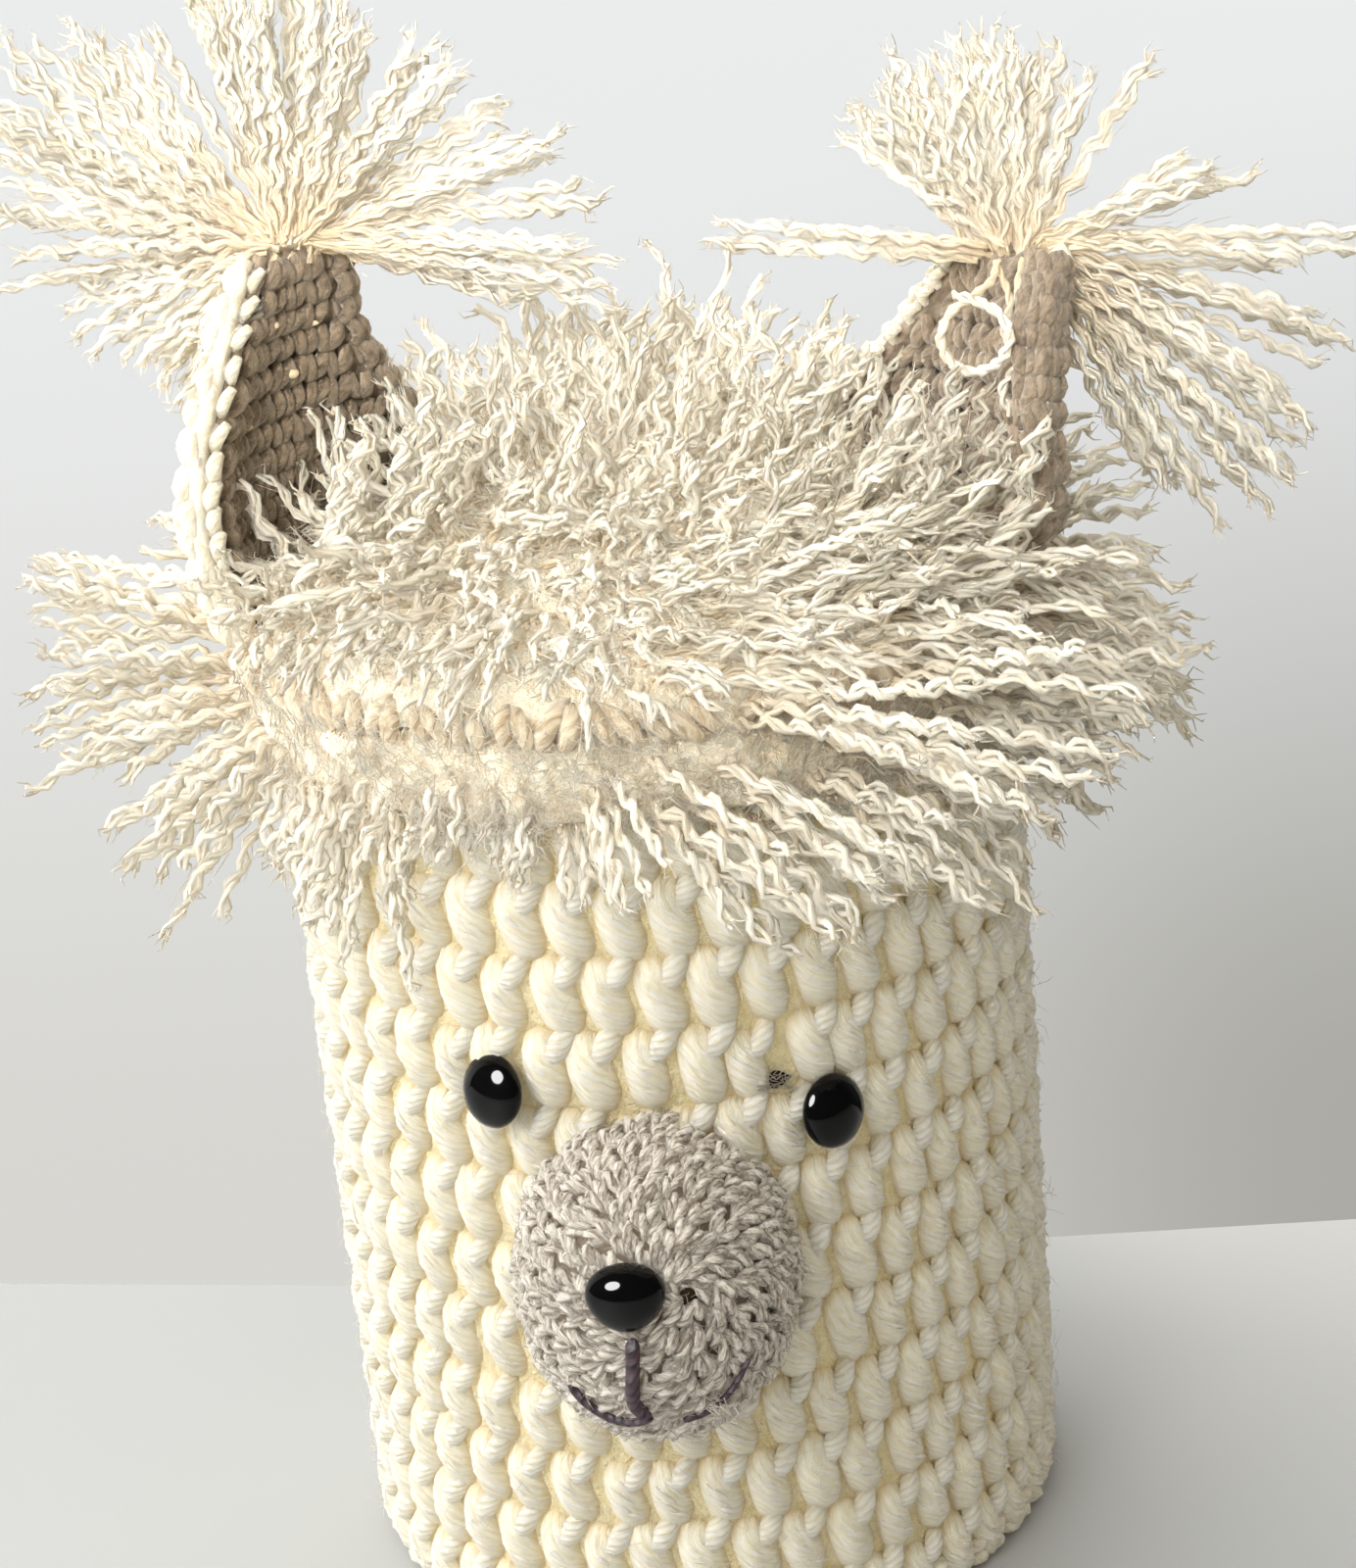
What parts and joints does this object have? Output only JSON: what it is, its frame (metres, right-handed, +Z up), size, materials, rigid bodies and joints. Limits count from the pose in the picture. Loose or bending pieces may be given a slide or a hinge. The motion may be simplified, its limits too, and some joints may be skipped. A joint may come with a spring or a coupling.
{
  "type": "toilet roll cover",
  "caption": "Crocheted toilet roll cover shaped as a shaggy animal: a hollow tube that stands on its hem, with a hairy top, cupped ears, yarn tassels and a stuffed snout.",
  "frame": {"origin": "bottom centre of the whole cover, on the surface it stands on, which is the middle of the hem's circle to within 1 mm", "axes": "+Z up, the face looks along -Y, +X to the right when the face is seen from the front"},
  "size_m": [0.2258, 0.1826, 0.2741],
  "materials": {
    "cream_yarn": "chunky plied wool-like yarn, matt",
    "hair_yarn": "kinked unravelled strands, matt and fuzzy",
    "taupe_yarn": "finer crochet yarn, matt",
    "plum_thread": "dark sewing thread, slight sheen",
    "black_gloss": "polished black plastic"
  },
  "bodies": {
    "root": {"body": "cream_yarn", "ear_outer_left": "cream_yarn", "ear_inner_left": "taupe_yarn", "ear_outer_right": "cream_yarn", "ear_inner_right": "taupe_yarn", "head_cap": "hair_yarn", "fringe": "hair_yarn", "tassel_left": "hair_yarn", "tassel_right": "hair_yarn", "snout": "taupe_yarn", "nose": "black_gloss", "eye_left": "black_gloss", "eye_right": "black_gloss", "mouth_middle": "plum_thread", "mouth_left": "plum_thread", "mouth_right": "plum_thread"}
  },
  "joints": []
}
